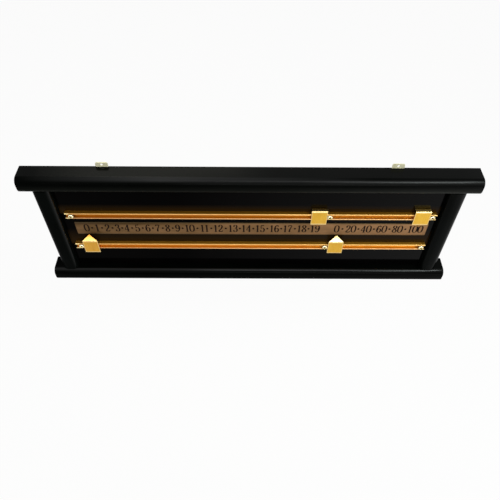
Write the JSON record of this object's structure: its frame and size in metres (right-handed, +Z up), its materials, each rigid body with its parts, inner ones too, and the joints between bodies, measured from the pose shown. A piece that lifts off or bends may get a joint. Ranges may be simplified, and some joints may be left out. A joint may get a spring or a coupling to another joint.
{
  "type": "billiard scoreboard",
  "caption": "Wall-hung scoreboard for two players: black frame with glossy panel, number strip, slotted brass tracks and sliding pointers.",
  "frame": {"origin": "on the wall plane, midway between the two hanger holes", "axes": "+X along the board to the reader's right, +Y into the wall, +Z up"},
  "size_m": [0.762, 0.036, 0.2758],
  "materials": {
    "black_lacquered_wood": "satin black lacquer",
    "gloss_black_panel": "polished black lacquer",
    "bronze_strip": "bronze lacquered, matt",
    "drawn_brass": "drawn, bright",
    "brushed_brass": "fine brushed",
    "turned_brass": "turned and polished",
    "pale_brass": "stamped and polished",
    "beech": "bare turned beech"
  },
  "bodies": {
    "board": {"cap_rail": "black_lacquered_wood", "base_rail": "black_lacquered_wood", "left_post": "black_lacquered_wood", "right_post": "black_lacquered_wood", "cap_dowels": "beech", "base_dowels": "beech", "back_panel": "gloss_black_panel", "number_strip": "bronze_strip", "upper_track": "drawn_brass", "lower_track": "drawn_brass", "upper_track_screws": "turned_brass", "lower_track_screws": "turned_brass", "left_hanger_plate": "pale_brass", "right_hanger_plate": "pale_brass", "left_plate_screws": "turned_brass", "right_plate_screws": "turned_brass"},
    "upper_units": {"upper_units_pointer": "brushed_brass", "upper_units_slider": "drawn_brass"},
    "upper_twenties": {"upper_twenties_pointer": "brushed_brass", "upper_twenties_slider": "drawn_brass"},
    "lower_units": {"lower_units_pointer": "brushed_brass", "lower_units_slider": "drawn_brass"},
    "lower_twenties": {"lower_twenties_pointer": "brushed_brass", "lower_twenties_slider": "drawn_brass"}
  },
  "joints": [
    {"name": "upper_units_slide", "type": "slide", "parent": "board", "child": "upper_units", "axis": [1, 0, 0], "range_m": [-0.4169, 0]},
    {"name": "upper_twenties_slide", "type": "slide", "parent": "board", "child": "upper_twenties", "axis": [1, 0, 0], "range_m": [-0.1424, 0]},
    {"name": "lower_units_slide", "type": "slide", "parent": "board", "child": "lower_units", "axis": [1, 0, 0], "range_m": [0, 0.4169]},
    {"name": "lower_twenties_slide", "type": "slide", "parent": "board", "child": "lower_twenties", "axis": [1, 0, 0], "range_m": [0, 0.1424]}
  ]
}
